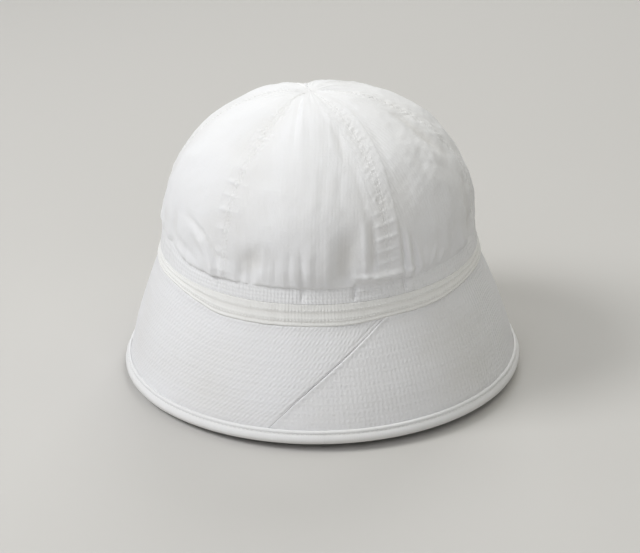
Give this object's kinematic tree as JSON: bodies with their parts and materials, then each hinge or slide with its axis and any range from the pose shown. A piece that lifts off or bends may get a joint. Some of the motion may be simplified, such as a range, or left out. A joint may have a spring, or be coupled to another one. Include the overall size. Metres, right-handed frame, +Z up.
{
  "type": "sailor cap",
  "caption": "White cotton sailor cap: domed crown of sewn gores, band tape and a deep brim turned down to a rolled binding.",
  "frame": {"origin": "centre of the bounding box at its base: the middle of the brim's rim, on the surface that the cap stands on", "axes": "+Z up; -Y is the front, the side that the picture sees; +X is to the right seen from the front"},
  "size_m": [0.2434, 0.2434, 0.17],
  "materials": {
    "crown_cotton": "matt white cotton twill, felled seams",
    "tape_cotton": "matt creamy white woven tape, stitched in rows",
    "brim_twill": "matt white cotton twill, several layers stitched flat",
    "binding_cotton": "smooth white cotton rolled over the edge"
  },
  "bodies": {
    "root": {"crown_panel_1": "crown_cotton", "crown_panel_2": "crown_cotton", "crown_panel_3": "crown_cotton", "crown_panel_4": "crown_cotton", "crown_panel_5": "crown_cotton", "crown_panel_6": "crown_cotton", "band_tape": "tape_cotton", "brim": "brim_twill", "brim_binding": "binding_cotton"}
  },
  "joints": []
}
